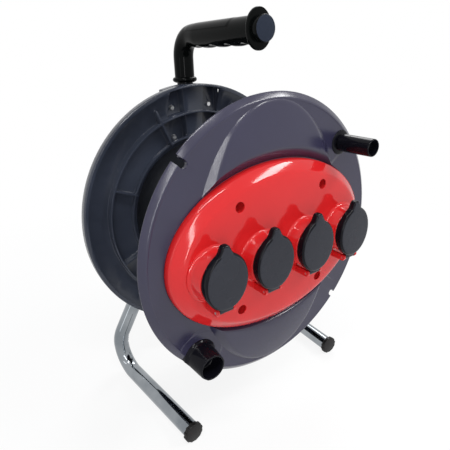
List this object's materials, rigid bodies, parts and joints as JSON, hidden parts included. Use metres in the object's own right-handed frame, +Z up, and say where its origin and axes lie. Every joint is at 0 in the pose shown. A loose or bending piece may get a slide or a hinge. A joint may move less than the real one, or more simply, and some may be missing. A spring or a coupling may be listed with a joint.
{
  "type": "extension cord reel",
  "caption": "Empty cable reel: open drum turning on a bent tube stand with a carrying handle, sprung-lid sockets in an oval cover, a winding knob and a plug holder.",
  "frame": {"origin": "on the floor, under the middle of the whole object", "axes": "+Z up, -Y the front with the sockets, +X to the right as seen from the front"},
  "size_m": [0.291, 0.206, 0.4111],
  "materials": {
    "flange_grey": "satin",
    "barrel_black": "satin",
    "disc_black": "glossy",
    "cover_red": "glossy",
    "tube_black": "glossy",
    "lid_black": "glossy",
    "insert_black": "matte",
    "grip_black": "glossy",
    "tube_chrome": "polished",
    "cap_rubber": "matte",
    "seal_rubber": "matte",
    "zinc_steel": "satin",
    "axle_steel": "turned",
    "contact_brass": "satin",
    "bearing_nylon": "matte",
    "bracket_black": "satin",
    "carrier_board": "matte"
  },
  "bodies": {
    "stand": {"leg_left": "tube_chrome", "leg_right": "tube_chrome", "foot_cap_left": "cap_rubber", "foot_cap_right": "cap_rubber", "handle_tube": "tube_black", "hand_grip": "grip_black", "grip_cap": "grip_black", "rear_disc": "disc_black", "tube_clamp_top": "bracket_black", "tube_clamp_left": "bracket_black", "tube_clamp_right": "bracket_black", "clamp_screws": "zinc_steel", "hub_bracket": "bracket_black", "hub_bolts": "zinc_steel", "axle": "axle_steel", "thrust_washer": "bearing_nylon", "axle_washer": "zinc_steel", "axle_nut": "zinc_steel"},
    "drum": {"barrel": "barrel_black", "hub_bush_front": "bearing_nylon", "hub_bush_rear": "bearing_nylon", "cable_grommet": "seal_rubber", "front_flange": "flange_grey", "cover_seal": "seal_rubber", "socket_cover": "cover_red", "cover_screws": "zinc_steel", "socket_insert_1": "insert_black", "socket_insert_2": "insert_black", "socket_insert_3": "insert_black", "socket_insert_4": "insert_black", "line_rail": "contact_brass", "neutral_rail": "contact_brass", "earth_rail": "contact_brass", "rail_carrier": "carrier_board", "carrier_screws": "zinc_steel", "terminal_block": "bearing_nylon", "terminal_screws": "zinc_steel", "plug_holder": "lid_black", "holder_screw": "zinc_steel", "crank_spigot": "lid_black", "knob_washer": "zinc_steel", "knob_screw": "zinc_steel", "hinge_pins": "zinc_steel", "lid_springs": "zinc_steel"},
    "knob": {"crank_knob": "lid_black"},
    "lid_body_1": {"lid_1": "lid_black", "lid_seal_1": "seal_rubber"},
    "lid_body_2": {"lid_2": "lid_black", "lid_seal_2": "seal_rubber"},
    "lid_body_3": {"lid_3": "lid_black", "lid_seal_3": "seal_rubber"},
    "lid_body_4": {"lid_4": "lid_black", "lid_seal_4": "seal_rubber"}
  },
  "joints": [
    {"name": "drum_spin", "type": "hinge", "parent": "stand", "child": "drum", "pos_m": [0, 0.003, 0.2], "axis": [0, 1, 0], "continuous": true},
    {"name": "knob_spin", "type": "hinge", "parent": "drum", "child": "knob", "pos_m": [0.0914, -0.077, 0.28673], "axis": [0, 1, 0], "continuous": true},
    {"name": "lid_1_hinge", "type": "hinge", "parent": "drum", "child": "lid_body_1", "pos_m": [-0.08169, -0.092, 0.171], "axis": [1, 0, 0], "range_deg": [0, 115], "stiffness_Nm_per_rad": 0.006, "springref_deg": -28.65},
    {"name": "lid_2_hinge", "type": "hinge", "parent": "drum", "child": "lid_body_2", "pos_m": [-0.02723, -0.092, 0.171], "axis": [1, 0, 0], "range_deg": [0, 115], "stiffness_Nm_per_rad": 0.006, "springref_deg": -28.65},
    {"name": "lid_3_hinge", "type": "hinge", "parent": "drum", "child": "lid_body_3", "pos_m": [0.02723, -0.092, 0.171], "axis": [1, 0, 0], "range_deg": [0, 115], "stiffness_Nm_per_rad": 0.006, "springref_deg": -28.65},
    {"name": "lid_4_hinge", "type": "hinge", "parent": "drum", "child": "lid_body_4", "pos_m": [0.08169, -0.092, 0.171], "axis": [1, 0, 0], "range_deg": [0, 115], "stiffness_Nm_per_rad": 0.006, "springref_deg": -28.65}
  ]
}
